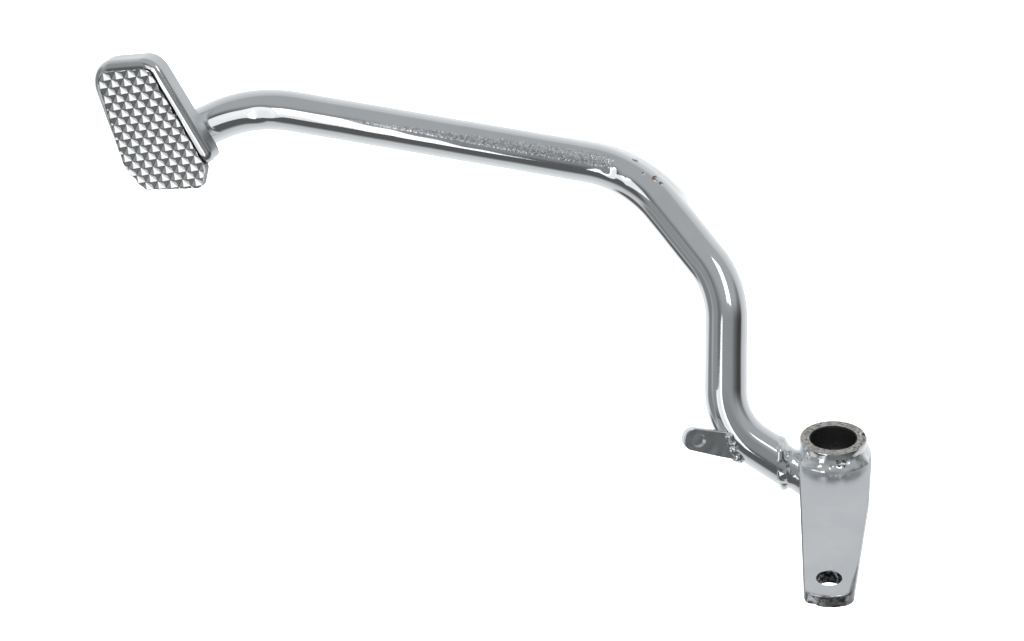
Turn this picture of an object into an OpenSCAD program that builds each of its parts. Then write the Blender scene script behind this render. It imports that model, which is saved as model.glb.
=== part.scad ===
// Rear brake pedal of a motorcycle: one welded and chrome-plated steel assembly.
// Sizes are in millimetres. The origin is the centre of the pivot bore.
// +Y runs along the pivot axis, away from the bike. +Z is up, and -X points forward.
// The foot pad lies level, the way it does when the pedal is at rest on the bike.

/* [Pivot tube] */

// outside diameter of the pivot tube
tube_od = 25; // [24:0.5:26]
// bore that turns on the shaft
bore_d = 17.2; // [16:0.1:18]
// length of the pivot tube
tube_len = 39; // [36:1:42]
// small chamfer at both mouths of the bore
bore_chamfer = 0.6; // [0.2:0.1:1]

/* [Rod lever] */

// thickness of the lever plate
lever_t = 5; // [4:0.5:6]
// distance from the plate's outer face to the tube's outer end
lever_set_back = 6.5; // [5:0.5:8]
// lean of the lever from straight up towards the rear
lever_angle = 18.2; // [10:0.1:25]
// how far the plate's round end stands out past the pivot tube
lever_rim = 1.2; // [1.1:0.1:1.8]
// how far the round end is set towards the rear edge
lever_root_shift = 0.6; // [0.2:0.1:0.8]
// how far the shoulder on the rear edge stands out past the pivot tube
lever_shoulder = 0.9; // [0.5:0.1:1.2]
// half width at the rod end
lever_tip_half = 8.4; // [8:0.1:9]
// length from the pivot axis to the rod end
lever_len = 95; // [93:0.5:98]
// corner radius at the rod end
lever_corner_r = 5; // [4:0.5:5.5]
// height of the crown across the rod end
lever_crown = 2.2; // [1:0.1:3]
// distance from the pivot axis to the rod hole
rod_arm = 83.7; // [80:0.1:87]
// diameter of the rod hole
rod_hole_d = 8.5; // [7:0.1:9]

/* [Hub welds] */

// how far the outer bead spreads on the plate
weld_out_leg = 2.9; // [2:0.1:3.4]
// how far the outer bead climbs the tube
weld_out_rise = 4.4; // [3:0.1:5]
// how far the inner bead spreads on the plate
weld_in_leg = 2.4; // [1.5:0.1:3]
// how far the inner bead climbs the tube
weld_in_rise = 3; // [2:0.1:4]

/* [Pedal arm] */

// outside diameter of the bent tube
arm_od = 16; // [15:0.5:17]
// wall of the bent tube
arm_wall = 2.5; // [1.5:0.5:3.5]
// gap between the pivot tube and the cut end of the arm
arm_gap = 5.5; // [4.5:0.5:6.5]
// corner 0, at the hub
c0_x = -14.4; // [-15.4:0.1:-13.4]
c0_y = 8; // [7:0.1:9]
c0_z = 8; // [7:0.1:9]
// corner 1, the tight bend beside the tab
c1_x = -39.1; // [-40:0.1:-38]
c1_y = 22.3; // [21.5:0.1:23]
c1_z = 10.4; // [9.5:0.1:11]
// corner 2
c2_x = -48.7; // [-50:0.1:-47.5]
c2_y = 66.5; // [65:0.1:68]
c2_z = -18; // [-19:0.1:-17]
// corner 3, at the start of the long run
c3_x = -96; // [-98:0.1:-94]
c3_y = 98.7; // [97:0.1:100]
c3_z = -40.8; // [-42:0.1:-39.5]
// corner 4, just before the foot pad
c4_x = -239; // [-240:0.1:-238]
c4_y = 127.4; // [127:0.1:128]
c4_z = 6; // [5.5:0.1:6.5]
// corner 5, the arm's end under the foot pad
c5_x = -279; // [-281:0.1:-277]
c5_y = 109; // [108:0.1:110]
c5_z = 21; // [20.5:0.1:21.5]
// centre-line radius of bend 1
bend_1_r = 24; // [20:1:26]
// centre-line radius of bend 2
bend_2_r = 36; // [32:1:40]
// centre-line radius of bend 3
bend_3_r = 46; // [42:1:50]
// centre-line radius of bend 4
bend_4_r = 55; // [50:1:58]

/* [Arm weld] */

// outside diameter of the bead round the arm's end
arm_bead_d = 18.4; // [17.5:0.1:19]
// length of that bead along the arm
arm_bead_len = 4.4; // [3:0.1:5]
// diameter of the smooth neck between the bead and the hub
arm_neck_d = 14; // [12:0.5:15]

/* [Side tab] */

// thickness of the side tab
tab_t = 4; // [3:0.5:5]
// centre of the tab's outer face, where it meets the arm
tab_x = -33.06; // [-34:0.02:-32]
tab_y = 17.62; // [16.6:0.02:18.6]
tab_z = 16.3; // [15.3:0.1:17.3]
// heading of the tab's face about the vertical
tab_heading = 22.3; // [18:0.1:26]
// tilt of the tab's face from level
tab_tilt = 44.5; // [41:0.1:48]
// turn of the tab within its own plane
tab_roll = 142.6; // [139:0.1:146]
// distance to the middle of the round tip
tab_reach = 16.3; // [15:0.1:18]
// radius of the round tip
tab_tip_r = 4.15; // [3.8:0.05:4.4]
// half width beside the arm
tab_root_half = 4.85; // [4.5:0.05:5.5]
// diameter of the round recess near the tip
tab_seat_d = 4.8; // [4:0.1:5.4]
// depth of that recess
tab_seat_depth = 1.2; // [0.5:0.1:2]
// distance from the arm to the recess
tab_seat_reach = 14.7; // [13.7:0.1:15.2]
// distance from the arm to where the tab's sides turn in to its tip
tab_shoulder = 4.5; // [4:0.1:5]
// how far the tab reaches back to the arm's wall
tab_sunk = 7; // [6.5:0.1:7.5]
// diameter of the bead along the tab's root
tab_bead_d = 6; // [5:0.1:7]
// where that bead starts, ahead of the root
tab_bead_start = 3.4; // [3:0.1:4]
// where it ends, behind the root
tab_bead_end = 4.4; // [4:0.1:5]

/* [Foot pad shell] */

// height of the shell's rim above the pivot axis
pad_top = 29; // [28.5:0.5:30]
// depth of the shell from rim to back edge
shell_depth = 8; // [7.5:0.1:8.5]
// sheet thickness of the shell
shell_t = 2; // [1.5:0.1:2.2]
// rounding of the shell's outer edge
shell_round = 3; // [2:0.1:3.3]
// slot between the shell's rear rim and the tread plate
slot_w = 1; // [0.6:0.1:1.4]
// clearance between the tread plate and the shell's other rims
tread_fit = 0.05; // [0.04:0.01:0.2]

/* [Tread plate] */

// thickness of the tread plate below the pyramids
tread_base = 2.6; // [2:0.1:3]
// height of the pyramids
tread_h = 0.9; // [0.6:0.05:1.4]
// pitch of the pyramids across each groove direction
tread_pitch = 4.45; // [4:0.05:5]
// small flat left on each pyramid
tread_flat = 0.3; // [0.2:0.05:0.5]
// heading of the first set of grooves
tread_angle_1 = -33.2; // [-36:0.1:-30]
// heading of the second set of grooves
tread_angle_2 = 56.6; // [54:0.1:60]
// how far the pyramid tips stand above the rim
tread_proud = 0.6; // [0.2:0.1:1]
// diameter of the small tack welds in the slot
tack_d = 2.2; // [1.8:0.1:2.6]

/* [Pad weld] */

// leg of the beads between the arm and the shell
pad_weld_leg = 2.6; // [1.5:0.1:3]
// length of those beads along the arm
pad_weld_len = 22; // [18:1:24]

/* [Hidden] */

$fn = 64;
rod_sides = 32;
bend_step = 7.5;

// a length that reaches past any one piece, for the shapes that only cut
far = 100;

tube_r = tube_od / 2;
plate_y1 = tube_len / 2 - lever_set_back;
plate_y0 = plate_y1 - lever_t;
lever_root_r = tube_r + lever_rim;
arm_end_gap = tube_r + arm_gap;

arm_r = arm_od / 2;
arm_in_r = arm_r - arm_wall;
arm_spare = arm_r * 0.75;
arm_corners = [
    [c0_x, c0_y, c0_z],
    [c1_x, c1_y, c1_z],
    [c2_x, c2_y, c2_z],
    [c3_x, c3_y, c3_z],
    [c4_x, c4_y, c4_z],
    [c5_x, c5_y, c5_z]
];
arm_bends = [0, bend_1_r, bend_2_r, bend_3_r, bend_4_r, 0];

hub_corners = [for (i = [0 : 2]) arm_corners[i]];

// plan of the tread plate, clockwise from the front outer corner: x, y, corner radius
tread_plan = [
    [-296.0, 143.3, 6],
    [-270.0, 147.6, 3.5],
    [-249.2, 108.3, 3.5],
    [-252.4, 98.9, 4],
    [-281.0, 94.2, 4],
    [-289.6, 103.6, 6]
];

// plan of the shell, in the same order
shell_plan = [
    [-301.9, 146.2, 12],
    [-268.5, 152.0, 9],
    [-245.0, 110.0, 4],
    [-290.3, 100.4, 3.6]
];

recess_z = pad_top + tread_proud - tread_h - tread_base;
web_z = recess_z - shell_t;
tread_top = pad_top + tread_proud;

// the crossing of two ridges that the pyramids are set out from
pad_mid = [-272, 122];

// how far along the slot each tack weld sits, as a share of the plate's rear edge
tack_shares = [0.47, 0.585];

function unit(v) = v / norm(v);
function turn(a, b) = acos(unit(a) * unit(b));

// corner i of a plan, moved inwards by d along its two edges
function edge_dir(p, i) = unit([
    p[(i + 1) % len(p)][0] - p[i][0],
    p[(i + 1) % len(p)][1] - p[i][1]
]);
function inward(e) = [e[1], -e[0]];
function inset_corner(p, i, d) =
    let (
        e0 = edge_dir(p, (i + len(p) - 1) % len(p)),
        e1 = edge_dir(p, i),
        m = inward(e0) + inward(e1)
    )
    [p[i][0], p[i][1]] + m * d / (1 + e0 * e1);
function inset_plan(p, d) = [
    for (i = [0 : len(p) - 1])
        let (c = inset_corner(p, i, d))
        [c[0], c[1], max(p[i][2] - d, 0.2)]
];

// points of a plan with every corner rounded in a fixed number of steps
function round_corner(p, i, steps) =
    let (
        n = len(p),
        c = [p[i][0], p[i][1]],
        e0 = edge_dir(p, (i + n - 1) % n),
        e1 = edge_dir(p, i),
        r = p[i][2],
        a = turn(e0, e1),
        t = r * tan(a / 2),
        o = c - e0 * t + inward(e0) * r,
        a0 = atan2(-inward(e0)[1], -inward(e0)[0])
    )
    [for (k = [0 : steps]) o + r * [cos(a0 - a * k / steps), sin(a0 - a * k / steps)]];
function plan_points(p, steps) = [
    for (i = [0 : len(p) - 1])
        each round_corner(p, i, steps)
];

// a straight length of rod from p to q
module rod_leg(p, q, r) {
    d = q - p;
    translate(p)
        rotate([0, acos(d[2] / norm(d)), atan2(d[1], d[0])])
            cylinder(h = norm(d), r = r);
}

// heading of leg i, the turn at corner i, and how much of each leg that bend takes
function leg_dir(c, i) = unit(c[i + 1] - c[i]);
function bend_angle(c, i) = turn(leg_dir(c, i - 1), leg_dir(c, i));
function bend_take(c, i) = arm_bends[i] * tan(bend_angle(c, i) / 2);

// v turned about the axis k by a
function about(v, k, a) = v * cos(a) + cross(k, v) * sin(a) + k * (k * v) * (1 - cos(a));

// stations along the bent centre line from corner i on: each one is a point, the way ahead
// and a side direction that is carried along without twist
function bend_stations(c, i, x) =
    let (
        d0 = leg_dir(c, i - 1),
        k = unit(cross(d0, leg_dir(c, i))),
        a = bend_angle(c, i),
        start = c[i] - d0 * bend_take(c, i),
        o = start + cross(k, d0) * arm_bends[i],
        n = ceil(a / bend_step)
    )
    [
        for (j = [0 : n])
            let (b = a * j / n)
            [o + about(start - o, k, b), about(d0, k, b), about(x, k, b)]
    ];
function stations_from(c, i, x) =
    (i == len(c) - 1)
    ? [[c[i], leg_dir(c, i - 1), x]]
    : let (s = bend_stations(c, i, x))
    concat(s, stations_from(c, i + 1, s[len(s) - 1][2]));
function rod_stations(c) =
    let (d = leg_dir(c, 0), x = unit(cross(d, leg_dir(c, 1))))
    concat([[c[0], d, x]], stations_from(c, 1, x));
function rod_ring(s, r) = [
    for (k = [0 : rod_sides - 1])
        s[0] + r * (s[2] * cos(360 * k / rod_sides) + cross(s[1], s[2]) * sin(360 * k / rod_sides))
];

// the corners with both ends moved out by the same length
function grown(c, extra) = concat(
    [c[0] - leg_dir(c, 0) * extra],
    [for (i = [1 : len(c) - 2]) c[i]],
    [c[len(c) - 1] + leg_dir(c, len(c) - 2) * extra]
);

// the quads between one ring of points and the next
function skin(n, m, flip) = [
    for (j = [0 : m - 2])
        for (i = [0 : n - 1])
            flip
            ? [j * n + (i + 1) % n, j * n + i, (j + 1) * n + i, (j + 1) * n + (i + 1) % n]
            : [j * n + i, j * n + (i + 1) % n, (j + 1) * n + (i + 1) % n, (j + 1) * n + i]
];

// the whole bent rod, solid, grown past both ends by the same length
module bent_rod(c, r, extra) {
    s = rod_stations(grown(c, extra));
    n = rod_sides;
    m = len(s);
    polyhedron(
        points = [for (q = s) each rod_ring(q, r)],
        faces = concat(
            [[for (i = [0 : n - 1]) i]],
            skin(n, m, true),
            [[for (i = [0 : n - 1]) m * n - 1 - i]]
        )
    );
}

// the bent tube: an outer and an inner skin joined by a ring at each end
module bent_tube(c, r_out, r_in, extra) {
    s = rod_stations(grown(c, extra));
    n = rod_sides;
    m = len(s);
    g = m * n;
    polyhedron(
        points = concat(
            [for (q = s) each rod_ring(q, r_out)],
            [for (q = s) each rod_ring(q, r_in)]
        ),
        faces = concat(
            skin(n, m, true),
            [for (f = skin(n, m, false)) [f[0] + g, f[1] + g, f[2] + g, f[3] + g]],
            [for (i = [0 : n - 1]) [i, (i + 1) % n, g + (i + 1) % n, g + i]],
            [
                for (i = [0 : n - 1])
                    [g - n + (i + 1) % n, g - n + i, 2 * g - n + i, 2 * g - n + (i + 1) % n]
            ]
        )
    );
}

// lies along the lever: z runs towards the rod hole, y along the pivot axis
module on_lever() {
    rotate([0, lever_angle, 0])
        children();
}

// a flat shape drawn across and along the lever, from y0 to y1
module lever_slab(y0, y1) {
    on_lever()
        translate([0, y1, 0])
            rotate([90, 0, 0])
                linear_extrude(y1 - y0)
                    children();
}

// heading from the centre of a circle to where a line from p touches it on one side
function touch(o, r, p, side) =
    let (v = p - o)
    atan2(v[1], v[0]) - side * acos(r / norm(v));

// the lever's outline: the round end, a straight front edge, and a rear edge with a shoulder
module lever_outline() {
    r = lever_root_r;
    o = [lever_root_shift, 0];
    tip = lever_len - lever_crown;
    shoulder = [tube_r + lever_shoulder, lever_len * 0.32];
    a0 = touch(o, r, shoulder, 1);
    a1 = touch(o, r, [-lever_tip_half, tip], -1) - 360;
    front = o + r * [cos(a1), sin(a1)];
    rear = o + r * [cos(a0), sin(a0)];
    p = [
        [front[0], front[1], 0],
        [-lever_tip_half, tip, lever_corner_r],
        [0, lever_len, 12],
        [lever_tip_half, tip, lever_corner_r],
        [shoulder[0], shoulder[1], 30],
        [rear[0], rear[1], 0]
    ];
    polygon(concat(
        [for (i = [1 : 4]) each round_corner(p, i, 8)],
        [
            for (k = [0 : 24])
                let (a = a0 + (a1 - a0) * k / 24)
                o + r * [cos(a), sin(a)]
        ]
    ));
}

// a cylinder about the pivot axis
module on_pivot(y0, y1, r) {
    translate([0, y1, 0])
        rotate([90, 0, 0])
            cylinder(h = y1 - y0, r = r);
}

module pivot_tube() {
    c = bore_chamfer;
    color([0.72, 0.73, 0.75])
        translate([0, tube_len / 2, 0])
            rotate([90, 0, 0])
                rotate_extrude()
                    polygon([
                        [bore_d / 2 + c, 0],
                        [tube_r, 0],
                        [tube_r, tube_len],
                        [bore_d / 2 + c, tube_len],
                        [bore_d / 2, tube_len - c],
                        [bore_d / 2, c]
                    ]);
}

module rod_lever() {
    color([0.80, 0.81, 0.83])
        difference() {
            lever_slab(plate_y0, plate_y1)
                lever_outline();
            on_pivot(plate_y0 - 1, plate_y1 + 1, tube_r);
            on_lever()
                translate([0, 0, rod_arm])
                    on_pivot(plate_y0 - 1, plate_y1 + 1, rod_hole_d / 2);
        }
}

// a hollow-faced fillet between the tube and one face of the plate
module hub_bead(leg, rise) {
    r = tube_r;
    rotate_extrude()
        polygon([
            [r, 0],
            [r + leg, 0],
            [r + leg * 0.86, rise * 0.2],
            [r + leg * 0.48, rise * 0.52],
            [r + leg * 0.2, rise * 0.8],
            [r, rise]
        ]);
}

// the room a hub bead has on the plate: it stops at the plate's own edges
module bead_room() {
    front = lever_root_r - lever_root_shift - 1;
    rear = tube_r + lever_shoulder;
    on_lever() {
        translate([lever_root_shift, 0, 0])
            on_pivot(-tube_len, tube_len, lever_root_r - 0.1);
        translate([-front, -tube_len, 0])
            cube([front + rear, 2 * tube_len, 2 * tube_r]);
    }
}

module lever_weld_outer() {
    color([0.78, 0.79, 0.80])
        intersection() {
            translate([0, plate_y1, 0])
                rotate([-90, 0, 0])
                    hub_bead(weld_out_leg, weld_out_rise);
            bead_room();
        }
}

module lever_weld_inner() {
    color([0.78, 0.79, 0.80])
        intersection() {
            translate([0, plate_y0, 0])
                rotate([90, 0, 0])
                    hub_bead(weld_in_leg, weld_in_rise);
            bead_room();
        }
}

// everything on the hub side of the arm's cut end
module hub_side() {
    on_lever()
        translate([-arm_end_gap, -far, -far])
            cube([far, 2 * far, 2 * far]);
}

// everything above the underside of the shell's web
module above_web() {
    translate([pad_mid[0] - far, pad_mid[1] - far, web_z])
        cube([2 * far, 2 * far, far]);
}

module pedal_arm() {
    color([0.82, 0.83, 0.85])
        difference() {
            bent_tube(arm_corners, arm_r, arm_in_r, arm_spare);
            hub_side();
            above_web();
            arm_end_cut();
        }
}

// squares off the arm's end under the shell
module arm_end_cut() {
    p = arm_corners[5];
    d = unit(p - arm_corners[4]);
    rod_leg(p, p + d * arm_od, arm_od);
}

// the arm near the hub with its bore filled, cut off at its end
module filled_arm_end() {
    difference() {
        bent_rod(hub_corners, arm_r, arm_spare);
        hub_side();
    }
}

module arm_weld() {
    p = arm_corners[0];
    d = unit(arm_corners[1] - p);
    color([0.74, 0.75, 0.76])
        difference() {
            union() {
                intersection() {
                    rod_leg(p - d * arm_r, p + d * arm_od, arm_bead_d / 2);
                    on_lever()
                        translate([-arm_end_gap - arm_bead_len / 2, -far, -far])
                            cube([arm_bead_len, 2 * far, 2 * far]);
                }
                intersection() {
                    rod_leg(p - d * arm_od * 0.75, p + d * arm_spare, arm_neck_d / 2);
                    on_lever()
                        translate([-arm_end_gap, -far, -far])
                            cube([arm_gap + 0.8, 2 * far, 2 * far]);
                }
            }
            filled_arm_end();
            on_pivot(-far, far, tube_r);
            lever_slab(plate_y0, plate_y1)
                lever_outline();
            lever_slab(plate_y1, plate_y1 + weld_out_rise)
                circle(r = tube_r + weld_out_leg);
            lever_slab(plate_y0 - weld_in_rise, plate_y0)
                circle(r = tube_r + weld_in_leg);
        }
}

// lies on the tab: z is square to its outer face, x runs towards its tip
module on_tab() {
    translate([tab_x, tab_y, tab_z])
        rotate([0, 0, tab_heading])
            rotate([0, tab_tilt, 0])
                rotate([0, 0, tab_roll])
                    children();
}

module tab_blank() {
    on_tab()
        translate([0, 0, -tab_t])
            linear_extrude(tab_t)
                polygon(plan_points([
                    [tab_reach + tab_tip_r, tab_tip_r, tab_tip_r * 0.98],
                    [tab_reach + tab_tip_r, -tab_tip_r, tab_tip_r * 0.98],
                    [tab_shoulder, -tab_root_half, 8],
                    [-tab_sunk, -tab_root_half, 0.2],
                    [-tab_sunk, tab_root_half, 0.2],
                    [tab_shoulder, tab_root_half, 8]
                ], 10));
}

module side_tab() {
    color([0.62, 0.63, 0.65])
        difference() {
            tab_blank();
            bent_rod(hub_corners, arm_r, arm_spare);
            on_tab()
                translate([tab_seat_reach, 0, -tab_seat_depth])
                    cylinder(h = tab_seat_depth + 1, r = tab_seat_d / 2);
        }
}

module tab_weld() {
    r = tab_bead_d / 2;
    color([0.78, 0.79, 0.80])
        difference() {
            on_tab()
                hull() {
                    translate([tab_bead_start, -tab_root_half, -tab_t / 4])
                        sphere(r = r, $fn = 14);
                    translate([-tab_bead_end, tab_root_half, -tab_t / 4])
                        sphere(r = r, $fn = 14);
                }
            bent_rod(hub_corners, arm_r, arm_spare);
            tab_blank();
        }
}

// the rounded outer form of the shell, built up as rings of its plan
module shell_body() {
    steps = 6;
    arc = 8;
    rings = [
        for (k = [0 : arc])
            let (a = 90 * k / arc)
            [pad_top - shell_round * (1 - sin(a)), shell_round * (1 - cos(a))]
    ];
    n = len(shell_plan) * (steps + 1);
    lower = [for (q = plan_points(shell_plan, steps)) [q[0], q[1], pad_top - shell_depth]];
    upper = [
        for (g = rings)
            for (q = plan_points(inset_plan(shell_plan, g[1]), steps))
                [q[0], q[1], g[0]]
    ];
    m = len(rings) + 1;
    polyhedron(
        points = concat(lower, upper),
        faces = concat(
            [[for (i = [0 : n - 1]) n - 1 - i]],
            [[for (i = [0 : n - 1]) (m - 1) * n + i]],
            [
                for (j = [0 : m - 2])
                    for (i = [0 : n - 1])
                        [j * n + i, j * n + (i + 1) % n, (j + 1) * n + i]
            ],
            [
                for (j = [0 : m - 2])
                    for (i = [0 : n - 1])
                        [j * n + (i + 1) % n, (j + 1) * n + (i + 1) % n, (j + 1) * n + i]
            ]
        )
    );
}

// a plan that runs out past the shell's open inner end
function open_end(p) =
    let (e = edge_dir(p, 1), f = edge_dir(p, 3))
    [
        p[0],
        p[1],
        [p[2][0] + e[0] * far, p[2][1] + e[1] * far, 0.2],
        [p[3][0] - f[0] * far, p[3][1] - f[1] * far, 0.2]
    ];

// the plate's rear edge and the way out from it
tread_rear = -inward(edge_dir(tread_plan, 1));

// plan of the seat in the shell: a close fit round the tread plate, and the slot at its rear
function seat_plan() =
    let (
        t = tread_plan,
        e = edge_dir(t, 0),
        v = e * slot_w / (e * tread_rear)
    )
    inset_plan([
        t[0],
        [t[1][0] + v[0], t[1][1] + v[1], t[1][2]],
        [t[2][0] + v[0], t[2][1] + v[1], t[2][2]],
        t[5]
    ], -tread_fit);

module seat_room() {
    translate([0, 0, recess_z])
        linear_extrude(shell_depth)
            polygon(plan_points(open_end(seat_plan()), 6));
}

module pad_shell() {
    room = inset_plan(shell_plan, shell_t);
    color([0.80, 0.81, 0.83])
        difference() {
            shell_body();
            seat_room();
            translate([0, 0, pad_top - shell_depth - 1])
                linear_extrude(web_z - pad_top + shell_depth + 1)
                    polygon(plan_points(open_end(room), 6));
        }
}

// rows of ridges that run along a heading and rise from floor to top
module ridges(heading) {
    p = tread_pitch;
    f = tread_flat / 2;
    z0 = recess_z;
    z1 = recess_z + tread_base;
    z2 = tread_top;
    k = 10;
    translate(pad_mid)
        rotate([0, 0, heading])
            rotate([90, 0, 90])
                translate([0, 0, -far / 2])
                    linear_extrude(far)
                        polygon(concat(
                            [[(k + 0.5) * p, z0], [-(k + 0.5) * p, z0]],
                            [
                                for (i = [-k : k])
                                    each [[(i - 0.5) * p, z1], [i * p - f, z2], [i * p + f, z2]]
                            ],
                            [[(k + 0.5) * p, z1]]
                        ));
}

module tread_plate() {
    color([0.84, 0.85, 0.87])
        intersection() {
            translate([0, 0, recess_z - 1])
                linear_extrude(shell_depth)
                    polygon(plan_points(tread_plan, 6));
            ridges(tread_angle_1);
            ridges(tread_angle_2);
        }
}

// the middle of the slot's floor, a share k of the way along the plate's rear edge
function tack_place(k) =
    let (t = tread_plan, w = (slot_w + tread_fit) / 2)
    [
        t[1][0] + (t[2][0] - t[1][0]) * k + tread_rear[0] * w,
        t[1][1] + (t[2][1] - t[1][1]) * k + tread_rear[1] * w,
        recess_z
    ];

module tread_tacks() {
    color([0.78, 0.79, 0.80])
        difference() {
            for (k = tack_shares)
                translate(tack_place(k))
                    cylinder(h = tread_base, r = tack_d / 2);
            translate([0, 0, recess_z - 1])
                linear_extrude(shell_depth)
                    polygon(plan_points(tread_plan, 6));
            tack_rim();
        }
}

// the shell's rim outside its seat, to trim the tacks
module tack_rim() {
    difference() {
        translate([pad_mid[0] - far, pad_mid[1] - far, recess_z])
            cube([2 * far, 2 * far, tread_base]);
        seat_room();
    }
}

module pad_weld() {
    a = arm_corners[4];
    b = arm_corners[5];
    d = unit(b - a);
    color([0.70, 0.71, 0.72])
        difference() {
            intersection() {
                rod_leg(b - d * pad_weld_len, b + d * pad_weld_leg, arm_r + pad_weld_leg);
                translate([pad_mid[0] - far, pad_mid[1] - far, web_z - pad_weld_leg])
                    cube([2 * far, 2 * far, pad_weld_leg]);
                linear_extrude(pad_top)
                    polygon(plan_points(inset_plan(shell_plan, shell_t), 6));
            }
            bent_rod(arm_corners, arm_r, 0);
        }
}

pivot_tube();
rod_lever();
lever_weld_outer();
lever_weld_inner();
pedal_arm();
arm_weld();
side_tab();
tab_weld();
pad_shell();
tread_plate();
tread_tacks();
pad_weld();
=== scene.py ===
# %% [markdown]
# # A chrome rear brake pedal
# The real thing is one welded part: a thick tube that turns on a shaft, a lever plate
# for the brake rod, a long bent arm, and a small pressed foot pad with a diamond tread.
# Everything is steel with bright plating, so most of what the eye sees is reflection.
# That sets the plan: smooth surfaces first, then weld lumps and small faults on them,
# and a simple studio whose pale and dark parts give the chrome something to mirror.

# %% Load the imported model
import math

import bmesh
import bpy
import numpy as np
from mathutils import Matrix, Vector


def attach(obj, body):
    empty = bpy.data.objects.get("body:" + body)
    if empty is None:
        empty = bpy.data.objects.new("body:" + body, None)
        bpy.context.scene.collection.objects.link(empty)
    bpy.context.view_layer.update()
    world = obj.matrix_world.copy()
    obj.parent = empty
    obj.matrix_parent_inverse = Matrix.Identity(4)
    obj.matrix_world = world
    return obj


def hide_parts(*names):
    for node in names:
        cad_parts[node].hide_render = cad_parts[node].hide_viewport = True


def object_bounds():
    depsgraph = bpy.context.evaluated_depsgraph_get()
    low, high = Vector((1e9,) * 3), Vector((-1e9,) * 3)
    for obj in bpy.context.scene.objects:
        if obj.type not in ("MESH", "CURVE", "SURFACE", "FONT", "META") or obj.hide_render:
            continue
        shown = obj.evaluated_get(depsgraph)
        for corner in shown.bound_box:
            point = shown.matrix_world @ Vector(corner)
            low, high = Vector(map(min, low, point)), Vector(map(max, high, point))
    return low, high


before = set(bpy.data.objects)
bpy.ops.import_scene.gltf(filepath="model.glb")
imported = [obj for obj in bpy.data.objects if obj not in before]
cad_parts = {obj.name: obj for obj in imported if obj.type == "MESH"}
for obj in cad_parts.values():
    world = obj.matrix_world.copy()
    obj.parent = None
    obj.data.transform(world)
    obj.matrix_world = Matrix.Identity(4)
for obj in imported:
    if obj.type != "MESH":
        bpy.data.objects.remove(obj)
cad_low, cad_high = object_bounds()
print("the packed pedal spans", [round(b - a, 4) for a, b in zip(cad_low, cad_high)], "m")

# %% [markdown]
# ## Millimetres and directions
# The shape sums below are in millimetres, and one factor turns them into metres when a
# mesh is made. Some named sizes repeat what the solid model says, so each new surface
# lies where the solid part lies.

# %% Sizes shared by the pieces
MM = 0.001
HALF_TUBE = 19.5
TUBE_R = 12.5
BORE_R = 8.6
PLATE_BACK, PLATE_FRONT = 8.0, 13.0
LEVER_LEAN = math.radians(18.2)
LEVER_X = np.array([math.cos(LEVER_LEAN), 0.0, -math.sin(LEVER_LEAN)])
LEVER_Z = np.array([math.sin(LEVER_LEAN), 0.0, math.cos(LEVER_LEAN)])
LEVER_LEN, ROD_ARM, ROD_R = 95.0, 83.7, 4.25
ARM_R, ARM_BORE = 8.0, 5.5
ARM_CUT = -18.0
ARM_CORNERS = np.array([
    [-14.4, 8.0, 8.0],
    [-39.1, 22.3, 10.4],
    [-48.7, 66.5, -18.0],
    [-96.0, 98.7, -40.8],
    [-239.0, 127.4, 6.0],
    [-279.0, 109.0, 21.0],
])
ARM_BENDS = (24.0, 36.0, 46.0, 55.0)
PAD_TOP, WEB_UNDER, SEAT_Z, LIP_Z = 29.0, 24.1, 26.1, 21.0
TREAD_FLOOR, TREAD_TOP = 28.7, 29.6
PIVOT = np.array([0.0, 1.0, 0.0])
RING_NICK = np.array([9.9, HALF_TUBE, -6.6])


def unit(v):
    """Each vector over its own length."""
    return v / np.linalg.norm(v, axis=-1, keepdims=True)


def ease(x, low, high):
    """0 below low, 1 above high, and a smooth S between them."""
    t = np.clip((x - low) / (high - low), 0, 1)
    return t * t * (3 - 2 * t)


def whole_turn(count):
    """Evenly spaced angles once round."""
    return np.linspace(0, math.tau, count + 1)[:-1]


def circle(angle):
    """The cosine and sine of each angle, as x and y."""
    return np.stack([np.cos(angle), np.sin(angle)], -1)


def lumps(points, size, seed):
    """Smooth hills and hollows about as wide as size: the mean of 16 sine waves that run
    in random directions, scaled to lie roughly between -1 and 1."""
    rng = np.random.default_rng(seed)
    waves = unit(rng.normal(size=(16, 3))) * rng.uniform(0.7, 1.6, (16, 1)) * math.tau / size
    return np.sin(points @ waves.T + rng.uniform(0, math.tau, 16)).mean(-1) * 2.4


def bump_at(points, centre, radius):
    """1 at centre and fading like a bell: exp of minus the square of distance over radius."""
    gap = np.linalg.norm(points - np.array(centre), axis=-1)
    return np.exp(-((gap / radius) ** 2))


# %% [markdown]
# ## From grids of points to a mesh
# Every piece is one or more grids of points, and each four neighbours make a face. A
# closed shape joins its last row or column to its first. Points that fall on the same
# spot, as at a pole, are merged, and then all faces are turned to look outwards.

# %% The mesh maker
def in_scene(name, data):
    """A new object for a mesh, a lamp or a camera, linked into the scene."""
    made = bpy.data.objects.new(name, data)
    bpy.context.scene.collection.objects.link(made)
    return made


def grid_faces(rows, cols, wrap_rows, wrap_cols, first):
    """Corner numbers of a grid's faces: a point and its right, lower right and lower neighbour."""
    i = np.arange(rows if wrap_rows else rows - 1)[:, None]
    j = np.arange(cols if wrap_cols else cols - 1)[None, :]
    below, right = (i + 1) % rows, (j + 1) % cols
    corners = (i * cols + j, i * cols + right, below * cols + right, below * cols + j)
    return np.stack(np.broadcast_arrays(*corners), -1).reshape(-1, 4) + first


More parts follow.
